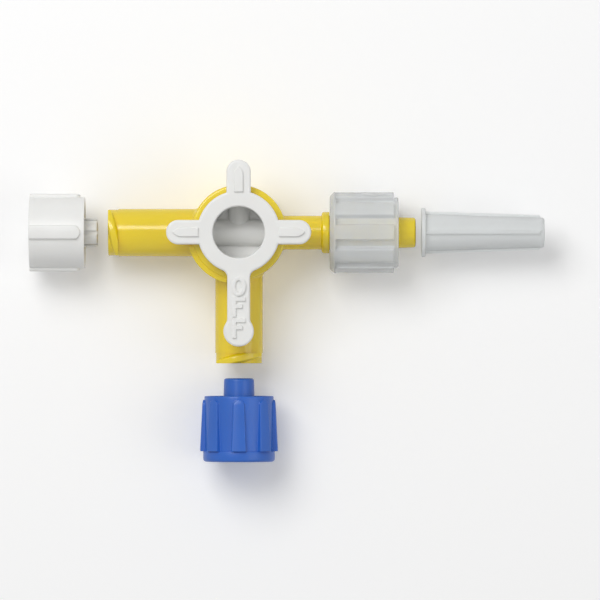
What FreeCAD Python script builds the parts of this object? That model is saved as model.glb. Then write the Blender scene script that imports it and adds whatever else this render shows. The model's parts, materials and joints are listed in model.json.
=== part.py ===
import FreeCAD, Part
import math
import os

from FreeCAD import Rotation, Vector

# Four-way stopcock: a valve body with two taper sockets and a male taper tip,
# a four-arm lever with a hollow tapered core, a spinning lock collar, two
# screw caps and a tip sleeve. Lengths in mm, angles in degrees. +Z runs up
# the valve axis, +X along the male arm, and the origin is the hub's foot.

# Tapers and fits
TAPER = 0.06
SOCKET_MOUTH_DIAMETER = 4.3
SOCKET_DEPTH = 8.0
TIP_DIAMETER = 3.96
LUMEN_DIAMETER = 2.1
SEAT_CLEARANCE = 0.03
RUNNING_CLEARANCE = 0.035
AXIAL_PLAY = 0.06

# Valve body
HUB_DIAMETER = 12.5
HUB_HEIGHT = 11.1
HUB_EDGE_CHAMFER = 0.3
PORT_REACH = 17.3
PORT_DIAMETER = 6.3
MALE_REACH = 23.4
NECK_DIAMETER = 4.5
SHOULDER_WIDTH = 1.0
SHOULDER_DIAMETER = 5.5
SHOULDER_CHAMFER = 0.3
BARB_RISE = 0.2
BARB_LENGTH = 0.7
TIP_EDGE_CHAMFER = 0.3
TIP_PROJECTION = 2.29
RIM_THICKNESS = 0.65
RIM_HEIGHT = 2.6
RIM_DROP = 0.2
RIM_FROM = 197.0
RIM_TO = 256.0
SNAP_LEDGE_HEIGHT = 1.5
UNDERCUT_DEPTH = 0.5

# Thread lugs on the two sockets
LUG_ZONE = 1.35
LUG_ZONE_STEP = 0.1
LUG_DIAMETER = 7.8
LUG_BASE_WIDTH = 1.5
LUG_CREST_WIDTH = 0.8
LUG_SWEEP = 100.0
LUG_COUNT = 2
THREAD_LEAD = 5.0

# Lever and core
CORE_DIAMETER = 9.3
CORE_DRAFT = 0.8
CORE_FOOT_GAP = 0.35
CORE_BEAD_RISE = 0.25
CORE_BEAD_HEIGHT = 0.8
WELL_DIAMETER = 6.8
WEB_THICKNESS = 1.0
THROUGH_DUCT_DIAMETER = 3.5
BRANCH_DUCT_DIAMETER = 2.84
BRANCH_LUMEN_DIAMETER = 1.9
LEVER_GAP = 0.1
LEVER_THICKNESS = 2.3
LEVER_EDGE_CHAMFER = 0.3
DISC_DIAMETER = 10.9
SHORT_ARM_WIDTH = 3.2
SHORT_ARM_REACH = 9.55
LONG_ARM_WIDTH = 3.0
LONG_ARM_REACH = 15.05
LONG_ARM_BULB_DIAMETER = 4.0
LONG_ARM_FILLET = 1.0
RIDGE_WIDTH = 1.2
RIDGE_HEIGHT = 0.35
RIDGE_START = 5.3
RIDGE_REACH = 8.75
RIDGE_POINT = 1.15

# Lock collar
COLLAR_LENGTH = 9.1
COLLAR_BACK_WALL = 1.2
COLLAR_CAVITY_DIAMETER = 8.1
COLLAR_DIAMETER = 9.3
COLLAR_FLANGE_WIDTH = 0.8
COLLAR_FLANGE_CHAMFER = 0.6
COLLAR_LIP_CHAMFER = 0.2
COLLAR_RIB_DIAMETER = 10.8
COLLAR_RIB_WIDTH = 2.0
COLLAR_RIB_COUNT = 10
COLLAR_LIP = 0.6
COLLAR_HEADROOM = 0.1

# Screw caps, which share the collar's thread cavity
CAP_CAVITY_DIAMETER = 8.1
PLUG_TAPER_LENGTH = 6.0
PLUG_BORE_DIAMETER = 1.9
RIB_NOSE = 0.5

# Vented cap
VENTED_LENGTH = 7.35
VENTED_FLOOR = 1.2
VENTED_DIAMETER = 9.4
VENTED_RIB_DIAMETER = 10.3
VENTED_RIB_WIDTH = 1.75
VENTED_RIB_COUNT = 4
VENTED_RIB_START = 0.6
VENTED_PLUG_DIAMETER = 3.76
VENTED_PLUG_REACH = 1.7
VENT_GROOVE_WIDTH = 0.5
VENT_GROOVE_DEPTH = 0.3
VENT_GROOVE_COUNT = 6
VENTED_FLOOR_GAP = 0.1
VENTED_STANDOFF = 1.4

# Port cap
PORT_CAP_LENGTH = 8.7
PORT_CAP_FLOOR = 1.4
PORT_CAP_DIAMETER = 9.1
PORT_CAP_BAND_DIAMETER = 9.5
PORT_CAP_BAND_HEIGHT = 1.4
PORT_CAP_EDGE_CHAMFER = 0.4
PORT_CAP_RIB_COUNT = 8
PORT_CAP_RIB_RIM_WIDTH = 1.5
PORT_CAP_RIB_BAND_WIDTH = 1.95
PORT_CAP_RIB_RIM_DIAMETER = 9.75
PORT_CAP_RIB_BAND_DIAMETER = 10.35
PORT_CAP_RIB_START = 0.5
PORT_CAP_PLUG_REACH = 2.35
PORT_CAP_STANDOFF = 2.0

# Tip sleeve
SLEEVE_LENGTH = 16.3
SLEEVE_FLANGE_DIAMETER = 6.5
SLEEVE_FLANGE_WIDTH = 0.55
SLEEVE_MOUTH_OUTER_DIAMETER = 4.9
SLEEVE_END_OUTER_DIAMETER = 3.9
SLEEVE_END_WALL = 0.6
SLEEVE_SEAT_DEPTH = 6.0
SLEEVE_END_BORE_DIAMETER = 3.0
SLEEVE_RIB_COUNT = 4
SLEEVE_RIB_WIDTH = 0.45
SLEEVE_RIB_RISE = 0.35
SLEEVE_RIB_END_GAP = 0.5
SLEEVE_STANDOFF = 0.75

# Small broken edges that every moulding has
EDGE_BREAK = 0.12
WELL_EDGE_RADIUS = 0.25

ORIGIN = Vector(0, 0, 0)
UP = Vector(0, 0, 1)
EXTRA = 1.0

# Places that follow from the sizes above: the port axis lies deep enough for
# the collar's grips to pass under the lever, and the tip stands out of the collar
port_height = HUB_HEIGHT - COLLAR_HEADROOM - COLLAR_RIB_DIAMETER / 2
lever_z = HUB_HEIGHT + LEVER_GAP
lever_top_z = lever_z + LEVER_THICKNESS
core_slope = math.tan(math.radians(CORE_DRAFT))
taper_slope = TAPER / 2
lug_zone_start = PORT_REACH - LUG_ZONE
collar_start = MALE_REACH - TIP_PROJECTION - COLLAR_LENGTH
shoulder_end = collar_start - AXIAL_PLAY
shoulder_start = shoulder_end - SHOULDER_WIDTH
collar_wall_end = collar_start + COLLAR_BACK_WALL
barb_start = collar_wall_end + AXIAL_PLAY


def turned(profile, angle=360):
    """A solid of revolution about Z from (radius, height) corners."""
    corners = [Vector(radius, 0, height) for radius, height in profile]
    face = Part.Face(Part.makePolygon(corners + corners[:1]))
    return face.revolve(ORIGIN, UP, angle)


def along(shape, outward):
    """The shape with its +Z laid along an arm and its +X turned up."""
    rotation = Rotation(UP, outward.cross(UP), outward, "ZXY")
    placed = shape.copy()
    placed.Placement = FreeCAD.Placement(Vector(0, 0, port_height), rotation)
    return placed


def patterned(tool, count):
    """Copies of the tool spread evenly about Z."""
    copies = []
    for index in range(count):
        copy = tool.copy()
        copy.rotate(ORIGIN, UP, index * 360 / count)
        copies.append(copy)
    return copies


def core_radius(height):
    """The tapered core's radius at a height above the foot."""
    return CORE_DIAMETER / 2 - (HUB_HEIGHT - height) * core_slope


def helical_lug():
    """One broad right-hand thread lug about Z, its middle on +X at height 0."""
    root = PORT_DIAMETER / 2 - LUG_ZONE_STEP
    crest = LUG_DIAMETER / 2
    rise = THREAD_LEAD * LUG_SWEEP / 360
    path = Part.makeHelix(THREAD_LEAD, rise, root)
    foot = root - LUG_ZONE_STEP
    section = Part.makePolygon(
        [
            Vector(foot, 0, -LUG_BASE_WIDTH / 2),
            Vector(crest, 0, -LUG_CREST_WIDTH / 2),
            Vector(crest, 0, LUG_CREST_WIDTH / 2),
            Vector(foot, 0, LUG_BASE_WIDTH / 2),
            Vector(foot, 0, -LUG_BASE_WIDTH / 2),
        ]
    )
    sweep = Part.BRepOffsetAPI.MakePipeShell(path)
    sweep.setFrenetMode(True)
    sweep.add(section)
    sweep.build()
    sweep.makeSolid()
    lug = sweep.shape()
    lug.rotate(ORIGIN, UP, -LUG_SWEEP / 2)
    lug.translate(Vector(0, 0, -rise / 2))
    return lug


def port_outside():
    """A female port's tube and thread lugs, from the hub's axis outwards."""
    radius = PORT_DIAMETER / 2
    tube = Part.makeCylinder(radius, lug_zone_start)
    end = Part.makeCylinder(radius - LUG_ZONE_STEP, LUG_ZONE)
    end.translate(Vector(0, 0, lug_zone_start))
    zone = Part.makeCylinder(LUG_DIAMETER, LUG_ZONE)
    zone.translate(Vector(0, 0, lug_zone_start))
    lug = helical_lug()
    lug.translate(Vector(0, 0, PORT_REACH - LUG_ZONE / 2))
    lugs = patterned(lug.common(zone), LUG_COUNT)
    return tube.fuse([end] + lugs)


def port_inside():
    """The taper socket and the lumen that opens it into the barrel."""
    mouth = SOCKET_MOUTH_DIAMETER / 2
    floor = PORT_REACH - SOCKET_DEPTH
    floor_radius = mouth - SOCKET_DEPTH * taper_slope
    lumen = LUMEN_DIAMETER / 2
    return turned(
        [
            (0, 0),
            (lumen, 0),
            (lumen, floor),
            (floor_radius, floor),
            (mouth - EDGE_BREAK * taper_slope, PORT_REACH - EDGE_BREAK),
            (mouth + EDGE_BREAK, PORT_REACH),
            (mouth + EDGE_BREAK, PORT_REACH + EXTRA),
            (0, PORT_REACH + EXTRA),
        ]
    )


def male_outside():
    """The male arm: neck, shoulder ring, collar journal, snap barb and taper."""
    neck = NECK_DIAMETER / 2
    shoulder = SHOULDER_DIAMETER / 2
    barb_end = barb_start + BARB_LENGTH
    tip = TIP_DIAMETER / 2
    return turned(
        [
            (0, 0),
            (neck, 0),
            (neck, shoulder_start),
            (shoulder - SHOULDER_CHAMFER, shoulder_start),
            (shoulder, shoulder_start + SHOULDER_CHAMFER),
            (shoulder, shoulder_end),
            (neck, shoulder_end),
            (neck, barb_start),
            (neck + BARB_RISE, barb_start),
            (tip + (MALE_REACH - barb_end) * taper_slope, barb_end),
            (tip + TIP_EDGE_CHAMFER * taper_slope, MALE_REACH - TIP_EDGE_CHAMFER),
            (tip - TIP_EDGE_CHAMFER, MALE_REACH),
            (0, MALE_REACH),
        ]
    )


def body():
    """The valve body, one moulding with its barrel open above and below."""
    hub = HUB_DIAMETER / 2
    barrel = turned(
        [
            (0, 0),
            (hub - HUB_EDGE_CHAMFER, 0),
            (hub, HUB_EDGE_CHAMFER),
            (hub, HUB_HEIGHT - HUB_EDGE_CHAMFER),
            (hub - HUB_EDGE_CHAMFER, HUB_HEIGHT),
            (0, HUB_HEIGHT),
        ]
    )
    arms = [
        along(port_outside(), Vector(-1, 0, 0)),
        along(port_outside(), Vector(0, -1, 0)),
        along(male_outside(), Vector(1, 0, 0)),
    ]
    rim_top = HUB_HEIGHT - RIM_DROP
    rim = turned(
        [
            (hub - RIM_THICKNESS, rim_top - RIM_HEIGHT),
            (hub + RIM_THICKNESS, rim_top - RIM_HEIGHT),
            (hub + RIM_THICKNESS, rim_top),
            (hub - RIM_THICKNESS, rim_top),
        ],
        RIM_TO - RIM_FROM,
    )
    rim.rotate(ORIGIN, UP, RIM_FROM)
    shape = barrel.fuse(arms + [rim])
    undercut = core_radius(0) + CORE_BEAD_RISE + UNDERCUT_DEPTH
    bore = turned(
        [
            (0, -EXTRA),
            (undercut, -EXTRA),
            (undercut, SNAP_LEDGE_HEIGHT),
            (core_radius(SNAP_LEDGE_HEIGHT) + RUNNING_CLEARANCE, SNAP_LEDGE_HEIGHT),
            (core_radius(HUB_HEIGHT + EXTRA) + RUNNING_CLEARANCE, HUB_HEIGHT + EXTRA),
            (0, HUB_HEIGHT + EXTRA),
        ]
    )
    male_lumen = Part.makeCylinder(LUMEN_DIAMETER / 2, MALE_REACH + EXTRA)
    sockets = [along(port_inside(), Vector(-1, 0, 0)), along(port_inside(), Vector(0, -1, 0))]
    return shape.cut([bore, along(male_lumen, Vector(1, 0, 0))] + sockets)


def arm_bar(width, reach):
    """A flat bar from the axis along +X with a full round end."""
    radius = width / 2
    bar = Part.makeBox(reach - radius, width, LEVER_THICKNESS, Vector(0, -radius, lever_z))
    end = Part.makeCylinder(radius, LEVER_THICKNESS, Vector(reach - radius, 0, lever_z))
    return bar.fuse(end)


def flow_ridge():
    """The raised mark on a short arm along +X, square inside and pointed outside."""
    half = RIDGE_WIDTH / 2
    shoulder = RIDGE_REACH - RIDGE_POINT
    bulge = shoulder + RIDGE_POINT * 0.6
    near = Vector(shoulder, half, 0)
    far = Vector(shoulder, -half, 0)
    point = Vector(RIDGE_REACH, 0, 0)
    wire = Part.Wire(
        [
            Part.makeLine(Vector(RIDGE_START, -half, 0), Vector(RIDGE_START, half, 0)),
            Part.makeLine(Vector(RIDGE_START, half, 0), near),
            Part.Arc(near, Vector(bulge, half * 0.75, 0), point).toShape(),
            Part.Arc(point, Vector(bulge, -half * 0.75, 0), far).toShape(),
            Part.makeLine(far, Vector(RIDGE_START, -half, 0)),
        ]
    )
    ridge = Part.Face(wire).extrude(Vector(0, 0, RIDGE_HEIGHT + LEVER_EDGE_CHAMFER))
    ridge.translate(Vector(0, 0, lever_top_z - LEVER_EDGE_CHAMFER))
    return ridge


def lever():
    """The four-arm plate: three short flow arms and the long shut-off arm."""
    plate = Part.makeCylinder(DISC_DIAMETER / 2, LEVER_THICKNESS, Vector(0, 0, lever_z))
    long_arm = arm_bar(LONG_ARM_WIDTH, LONG_ARM_REACH - EXTRA)
    bulb_radius = LONG_ARM_BULB_DIAMETER / 2
    bulb_centre = Vector(LONG_ARM_REACH - bulb_radius, 0, lever_z)
    bulb = Part.makeCylinder(bulb_radius, LEVER_THICKNESS, bulb_centre)
    long_arm = long_arm.fuse(bulb)
    long_arm.rotate(ORIGIN, UP, -90)
    plate = plate.fuse(long_arm).removeSplitter()
    corners = [edge for edge in plate.Edges if long_arm_corner(edge)]
    plate = plate.makeFillet(LONG_ARM_FILLET, corners)
    arms = []
    ridges = []
    for angle in (0, 90, 180):
        arm = arm_bar(SHORT_ARM_WIDTH, SHORT_ARM_REACH)
        arm.rotate(ORIGIN, UP, angle)
        arms.append(arm)
        ridge = flow_ridge()
        ridge.rotate(ORIGIN, UP, angle)
        ridges.append(ridge)
    plate = plate.fuse(arms).removeSplitter()
    top_edges = [edge for edge in plate.Edges if edge.BoundBox.ZMin > lever_top_z - 0.01]
    plate = plate.makeChamfer(LEVER_EDGE_CHAMFER, top_edges)
    return plate.fuse(ridges)


def long_arm_corner(edge):
    """Whether an edge is an upright corner between the disc and the long arm."""
    box = edge.BoundBox
    reach = math.hypot(box.Center.x, box.Center.y)
    upright = box.ZLength > LEVER_THICKNESS / 2
    on_disc = abs(reach - DISC_DIAMETER / 2) < 0.01
    return upright and on_disc and abs(abs(box.Center.x) - LONG_ARM_WIDTH / 2) < 0.01


def handle():
    """Lever and valve core, one moulding, with wells above and below its web."""
    bead_top = SNAP_LEDGE_HEIGHT - AXIAL_PLAY
    bead_foot = bead_top - CORE_BEAD_HEIGHT
    bead = core_radius(bead_top) + CORE_BEAD_RISE
    core = turned(
        [
            (0, CORE_FOOT_GAP),
            (core_radius(CORE_FOOT_GAP) - RUNNING_CLEARANCE, CORE_FOOT_GAP),
            (bead, bead_foot),
            (bead, bead_top),
            (core_radius(bead_top), bead_top),
            (core_radius(HUB_HEIGHT), HUB_HEIGHT),
            (core_radius(HUB_HEIGHT), lever_z + EXTRA),
            (0, lever_z + EXTRA),
        ]
    )
    well = WELL_DIAMETER / 2
    web_foot = port_height - WEB_THICKNESS
    upper_well = turned(
        [
            (0, port_height),
            (well, port_height),
            (well, lever_top_z - WELL_EDGE_RADIUS),
            (well + WELL_EDGE_RADIUS, lever_top_z),
            (well + WELL_EDGE_RADIUS, lever_top_z + EXTRA),
            (0, lever_top_z + EXTRA),
        ]
    )
    lower_well = Part.makeCylinder(well, web_foot)
    shape = core.fuse(lever()).cut([upper_well, lower_well])
    inner_wall = (WELL_DIAMETER + CORE_DIAMETER) / 4
    through = Part.makeCylinder(THROUGH_DUCT_DIAMETER / 2, 2 * inner_wall, Vector(0, 0, -inner_wall))
    branch = Part.makeCylinder(BRANCH_DUCT_DIAMETER / 2, inner_wall)
    ducts = [along(through, Vector(1, 0, 0)), along(branch, Vector(0, 1, 0))]
    shape = shape.fuse(ducts)
    reach = CORE_DIAMETER
    through_lumen = Part.makeCylinder(LUMEN_DIAMETER / 2, 2 * reach, Vector(0, 0, -reach))
    branch_lumen = Part.makeCylinder(BRANCH_LUMEN_DIAMETER / 2, reach)
    lumens = [along(through_lumen, Vector(1, 0, 0)), along(branch_lumen, Vector(0, 1, 0))]
    return shape.cut(lumens)


def grip_rib(span, foot, radii, widths, nose=0.0):
    """One lengthwise rib about Z, its values given at its start and end.

    A nose above 0 rounds the rib's start in plan and slopes it up by as much.
    """
    start, end = span
    start_half, end_half = widths[0] / 2, widths[1] / 2
    end_left = Vector(0, -end_half, end)
    end_right = Vector(0, end_half, end)
    left = Vector(0, -start_half, start + nose)
    right = Vector(0, start_half, start + nose)
    if nose:
        tip = Part.Arc(left, Vector(0, 0, start), right).toShape()
    else:
        tip = Part.makeLine(left, right)
    outline = [
        Part.makeLine(end_right, end_left),
        Part.makeLine(end_left, left),
        tip,
        Part.makeLine(right, end_right),
    ]
    blade = Part.Face(Part.Wire(outline)).extrude(Vector(max(radii) + EXTRA - foot, 0, 0))
    blade.translate(Vector(foot, 0, 0))
    crown = turned(
        [
            (0, start),
            (radii[0] - nose / 2, start),
            (radii[0], start + nose),
            (radii[1], end - EDGE_BREAK),
            (radii[1] - EDGE_BREAK, end),
            (0, end),
        ]
    )
    return blade.common(crown)


def lock_collar():
    """The ribbed collar that spins on the male arm's journal."""
    cavity = COLLAR_CAVITY_DIAMETER / 2
    wall = COLLAR_DIAMETER / 2
    ribs_radius = COLLAR_RIB_DIAMETER / 2
    bore = NECK_DIAMETER / 2 + RUNNING_CLEARANCE
    end = collar_start + COLLAR_LENGTH
    flange_end = collar_start + COLLAR_FLANGE_WIDTH
    shell = turned(
        [
            (0, collar_start),
            (ribs_radius - COLLAR_FLANGE_CHAMFER, collar_start),
            (ribs_radius, collar_start + COLLAR_FLANGE_CHAMFER),
            (ribs_radius, flange_end),
            (wall, flange_end),
            (wall, end - COLLAR_LIP_CHAMFER),
            (wall - COLLAR_LIP_CHAMFER, end),
            (0, end),
        ]
    )
    rib_foot = (cavity + wall) / 2
    rib = grip_rib(
        (flange_end - EDGE_BREAK, end - COLLAR_LIP),
        rib_foot,
        (ribs_radius, ribs_radius),
        (COLLAR_RIB_WIDTH, COLLAR_RIB_WIDTH),
    )
    shell = shell.fuse(patterned(rib, COLLAR_RIB_COUNT))
    hollow = Part.makeCylinder(cavity, COLLAR_LENGTH, Vector(0, 0, collar_wall_end))
    through = Part.makeCylinder(bore, COLLAR_LENGTH, Vector(0, 0, collar_start - EXTRA))
    return along(shell.cut([hollow, through]).removeSplitter(), Vector(1, 0, 0))


def cap_plug(tip_diameter, tip_at, floor_at):
    """A taper plug with a straight root and a blind bore from its tip, its axis on Z."""
    tip = tip_diameter / 2
    root = tip + PLUG_TAPER_LENGTH * taper_slope
    plug = turned(
        [
            (0, tip_at),
            (tip - TIP_EDGE_CHAMFER, tip_at),
            (tip + TIP_EDGE_CHAMFER * taper_slope, tip_at + TIP_EDGE_CHAMFER),
            (root, tip_at + PLUG_TAPER_LENGTH),
            (root, floor_at),
            (0, floor_at),
        ]
    )
    bore = Part.makeCylinder(PLUG_BORE_DIAMETER / 2, floor_at - tip_at, Vector(0, 0, tip_at - EXTRA))
    return plug.cut(bore)


def vented_cap():
    """The four-ribbed cap whose grooved plug lets a socket breathe."""
    cavity = CAP_CAVITY_DIAMETER / 2
    wall = VENTED_DIAMETER / 2
    tip_at = PORT_REACH + VENTED_STANDOFF
    rim_at = tip_at + VENTED_PLUG_REACH
    floor_at = rim_at + VENTED_LENGTH - VENTED_FLOOR
    end_at = rim_at + VENTED_LENGTH
    ribs_radius = VENTED_RIB_DIAMETER / 2
    shell = turned(
        [
            (0, rim_at),
            (wall - EDGE_BREAK, rim_at),
            (wall, rim_at + EDGE_BREAK),
            (wall, end_at - EDGE_BREAK),
            (wall - EDGE_BREAK, end_at),
            (0, end_at),
        ]
    )
    rib = grip_rib(
        (rim_at + VENTED_RIB_START, end_at),
        (cavity + wall) / 2,
        (ribs_radius, ribs_radius),
        (VENTED_RIB_WIDTH, VENTED_RIB_WIDTH),
        RIB_NOSE,
    )
    shell = shell.fuse(patterned(rib, VENTED_RIB_COUNT))
    hollow = Part.makeCylinder(cavity, floor_at - rim_at + EXTRA, Vector(0, 0, rim_at - EXTRA))
    plug = cap_plug(VENTED_PLUG_DIAMETER, tip_at, floor_at)
    groove_foot = VENTED_PLUG_DIAMETER / 2 - VENT_GROOVE_DEPTH
    groove = Part.makeBox(
        EXTRA,
        VENT_GROOVE_WIDTH,
        floor_at - tip_at + EXTRA,
        Vector(groove_foot, -VENT_GROOVE_WIDTH / 2, tip_at - EXTRA),
    )
    plug = plug.cut(patterned(groove, VENT_GROOVE_COUNT))
    return along(shell.cut(hollow).fuse(plug).removeSplitter(), Vector(-1, 0, 0))


def port_cap():
    """The eight-ribbed cap with a plain sealing plug and a band at its base."""
    cavity = CAP_CAVITY_DIAMETER / 2
    tip_at = PORT_REACH + PORT_CAP_STANDOFF
    rim_at = tip_at + PORT_CAP_PLUG_REACH
    end_at = rim_at + PORT_CAP_LENGTH
    floor_at = end_at - PORT_CAP_FLOOR
    band_at = end_at - PORT_CAP_BAND_HEIGHT
    wall = PORT_CAP_DIAMETER / 2
    band = PORT_CAP_BAND_DIAMETER / 2
    shell = turned(
        [
            (0, rim_at),
            (wall - EDGE_BREAK, rim_at),
            (wall, rim_at + EDGE_BREAK),
            (wall, band_at),
            (band, band_at),
            (band, end_at - PORT_CAP_EDGE_CHAMFER),
            (band - PORT_CAP_EDGE_CHAMFER, end_at),
            (0, end_at),
        ]
    )
    rib = grip_rib(
        (rim_at + PORT_CAP_RIB_START, band_at),
        (cavity + wall) / 2,
        (PORT_CAP_RIB_RIM_DIAMETER / 2, PORT_CAP_RIB_BAND_DIAMETER / 2),
        (PORT_CAP_RIB_RIM_WIDTH, PORT_CAP_RIB_BAND_WIDTH),
        RIB_NOSE,
    )
    shell = shell.fuse(patterned(rib, PORT_CAP_RIB_COUNT))
    hollow = Part.makeCylinder(cavity, floor_at - rim_at + EXTRA, Vector(0, 0, rim_at - EXTRA))
    plug = cap_plug(TIP_DIAMETER, tip_at, floor_at)
    return along(shell.cut(hollow).fuse(plug).removeSplitter(), Vector(0, -1, 0))


def tip_sleeve():
    """The long ribbed cover that slips over the male tip, shut at its far end."""
    mouth_at = MALE_REACH + SLEEVE_STANDOFF
    end_at = mouth_at + SLEEVE_LENGTH
    flange_end = mouth_at + SLEEVE_FLANGE_WIDTH
    mouth = SOCKET_MOUTH_DIAMETER / 2
    outer_mouth = SLEEVE_MOUTH_OUTER_DIAMETER / 2
    outer_end = SLEEVE_END_OUTER_DIAMETER / 2
    shell = turned(
        [
            (0, mouth_at),
            (SLEEVE_FLANGE_DIAMETER / 2, mouth_at),
            (SLEEVE_FLANGE_DIAMETER / 2, flange_end),
            (outer_mouth, flange_end),
            (outer_end, end_at - TIP_EDGE_CHAMFER),
            (outer_end - TIP_EDGE_CHAMFER, end_at),
            (0, end_at),
        ]
    )
    rib_end = end_at - SLEEVE_RIB_END_GAP
    rib = grip_rib(
        (flange_end - SLEEVE_FLANGE_WIDTH / 2, rib_end),
        (SLEEVE_END_BORE_DIAMETER / 2 + outer_end) / 2,
        (outer_mouth + SLEEVE_RIB_RISE, outer_end + SLEEVE_RIB_RISE),
        (SLEEVE_RIB_WIDTH, SLEEVE_RIB_WIDTH),
    )
    shell = shell.fuse(patterned(rib, SLEEVE_RIB_COUNT))
    bore_end = end_at - SLEEVE_END_WALL
    seat_end = mouth_at + SLEEVE_SEAT_DEPTH
    end_bore = SLEEVE_END_BORE_DIAMETER / 2
    bore = turned(
        [
            (0, mouth_at - EXTRA),
            (mouth + EXTRA * taper_slope, mouth_at - EXTRA),
            (mouth - SLEEVE_SEAT_DEPTH * taper_slope, seat_end),
            (end_bore, seat_end),
            (end_bore, bore_end),
            (0, bore_end),
        ]
    )
    return along(shell.cut(bore).removeSplitter(), Vector(1, 0, 0))


# What each loose piece travels from its drawn place to its seat
engagement = ((SOCKET_MOUTH_DIAMETER - TIP_DIAMETER) / 2 - SEAT_CLEARANCE) / taper_slope
vented_travel = (
    VENTED_STANDOFF + VENTED_PLUG_REACH + VENTED_LENGTH - VENTED_FLOOR - VENTED_FLOOR_GAP
)
port_cap_travel = PORT_CAP_STANDOFF + engagement
sleeve_travel = SLEEVE_STANDOFF + engagement

PIECES = {
    "body": body,
    "handle": handle,
    "lock_collar": lock_collar,
    "vented_cap": vented_cap,
    "port_cap": port_cap,
    "tip_sleeve": tip_sleeve,
}

os.makedirs("parts", exist_ok=True)
for name, make in PIECES.items():
    solid = make()
    solid.exportStep(f"parts/{name}.step")
    print(f"{name}: {len(solid.Solids)} solid, {solid.Volume:.1f} mm3, valid {solid.isValid()}")
print(f"travel to seat: {vented_travel:.3f} {port_cap_travel:.3f} {sleeve_travel:.3f}")
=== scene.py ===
"""The looks of a four-way stopcock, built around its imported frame.

Every piece is one moulding, as on the real valve: the yellow body, the white
lever with its core, the clear lock collar, the vented cap, the blue port cap
and the tip sleeve. Shapes are modelled in millimetres along +Z of an arm and
are then laid on that arm in metres.
"""

import json
import logging
import math
from dataclasses import dataclass, replace
from enum import Enum
from typing import Callable, Iterable, Sequence

import bmesh
import bpy
from mathutils import Matrix, Vector


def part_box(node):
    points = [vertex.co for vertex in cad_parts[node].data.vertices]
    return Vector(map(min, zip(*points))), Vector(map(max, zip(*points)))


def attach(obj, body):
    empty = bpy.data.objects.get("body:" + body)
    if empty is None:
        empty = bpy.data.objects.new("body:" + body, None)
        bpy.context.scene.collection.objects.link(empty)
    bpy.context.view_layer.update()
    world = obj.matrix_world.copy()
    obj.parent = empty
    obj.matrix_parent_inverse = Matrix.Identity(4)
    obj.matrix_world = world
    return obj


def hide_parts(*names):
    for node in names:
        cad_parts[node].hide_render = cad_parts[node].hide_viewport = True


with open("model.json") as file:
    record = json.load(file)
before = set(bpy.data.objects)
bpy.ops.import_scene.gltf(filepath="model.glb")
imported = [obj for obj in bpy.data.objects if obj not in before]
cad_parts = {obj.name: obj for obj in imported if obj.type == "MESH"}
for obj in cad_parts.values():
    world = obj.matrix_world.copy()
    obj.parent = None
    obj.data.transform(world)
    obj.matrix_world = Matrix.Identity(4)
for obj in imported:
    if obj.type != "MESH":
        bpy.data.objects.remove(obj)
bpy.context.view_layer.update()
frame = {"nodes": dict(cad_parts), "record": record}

log = logging.getLogger("stopcock")

MM = 0.001
TINY = 1e-5
MERGE = 2e-4

# How many faces go round the hub, an arm, a duct and a lumen.
AROUND = 128
AROUND_ARM = 96
AROUND_DUCT = 64
AROUND_LUMEN = 48

# How many faces round an outline's corner, and the angle from which an edge is sharp.
ROUND_STEPS = 4
SHARP_ANGLE = math.radians(32)

# How much a large face counts in the shading beside a rounded edge, in per cent.
FACE_WEIGHT = 100

# How far a cutting tool stands past what it cuts, in mm.
CLEAR = 1.0

# The small radii and chamfers of the mouldings' edges, in mm.
CRISP_EDGE = 0.06
THIN_EDGE = 0.08
FINE_EDGE = 0.1
PLAIN_EDGE = 0.12
SOFT_EDGE = 0.15

# A rib's nose starts at a share of the rib's width, and a share of its own length below the crest.
NOSE_STEPS = 7
NOSE_WIDTH = 0.3
NOSE_DROP = 0.2
NOSE_POWER = 1.5

WHITE = (1.0, 1.0, 1.0, 1.0)

Mesh = bmesh.types.BMesh


class Slot(Enum):
    """The record's material slots."""

    BODY = "body_yellow"
    HANDLE = "handle_white"
    COLLAR = "collar_clear"
    VENTED_CAP = "cap_white"
    PORT_CAP = "cap_blue"
    SLEEVE = "sleeve_natural"


class Join(Enum):
    """How one solid is joined with another."""

    UNITE = "UNION"
    CUT = "DIFFERENCE"
    KEEP_SHARED = "INTERSECT"


class Rounded(Enum):
    """What a bevel rounds off."""

    EDGES = "EDGES"
    CORNERS = "VERTICES"


class Arm(Enum):
    """The directions that the three arms point in."""

    INLET = (-1.0, 0.0, 0.0)
    SIDE = (0.0, -1.0, 0.0)
    MALE = (1.0, 0.0, 0.0)

    def matrix(self, port_height: float) -> Matrix:
        """The turn and move that lay a mesh made along +Z on this arm, its +X turned up."""
        outward = Vector(self.value)
        up = Vector((0.0, 0.0, 1.0))
        turn = Matrix((up, outward.cross(up), outward)).transposed()
        return Matrix.Translation((0.0, 0.0, port_height)) @ turn.to_4x4()


@dataclass(frozen=True)
class Corner:
    """One corner of a turned outline, in mm, with the radius that rounds it."""

    radius: float
    height: float
    rounding: float = 0.0


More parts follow.
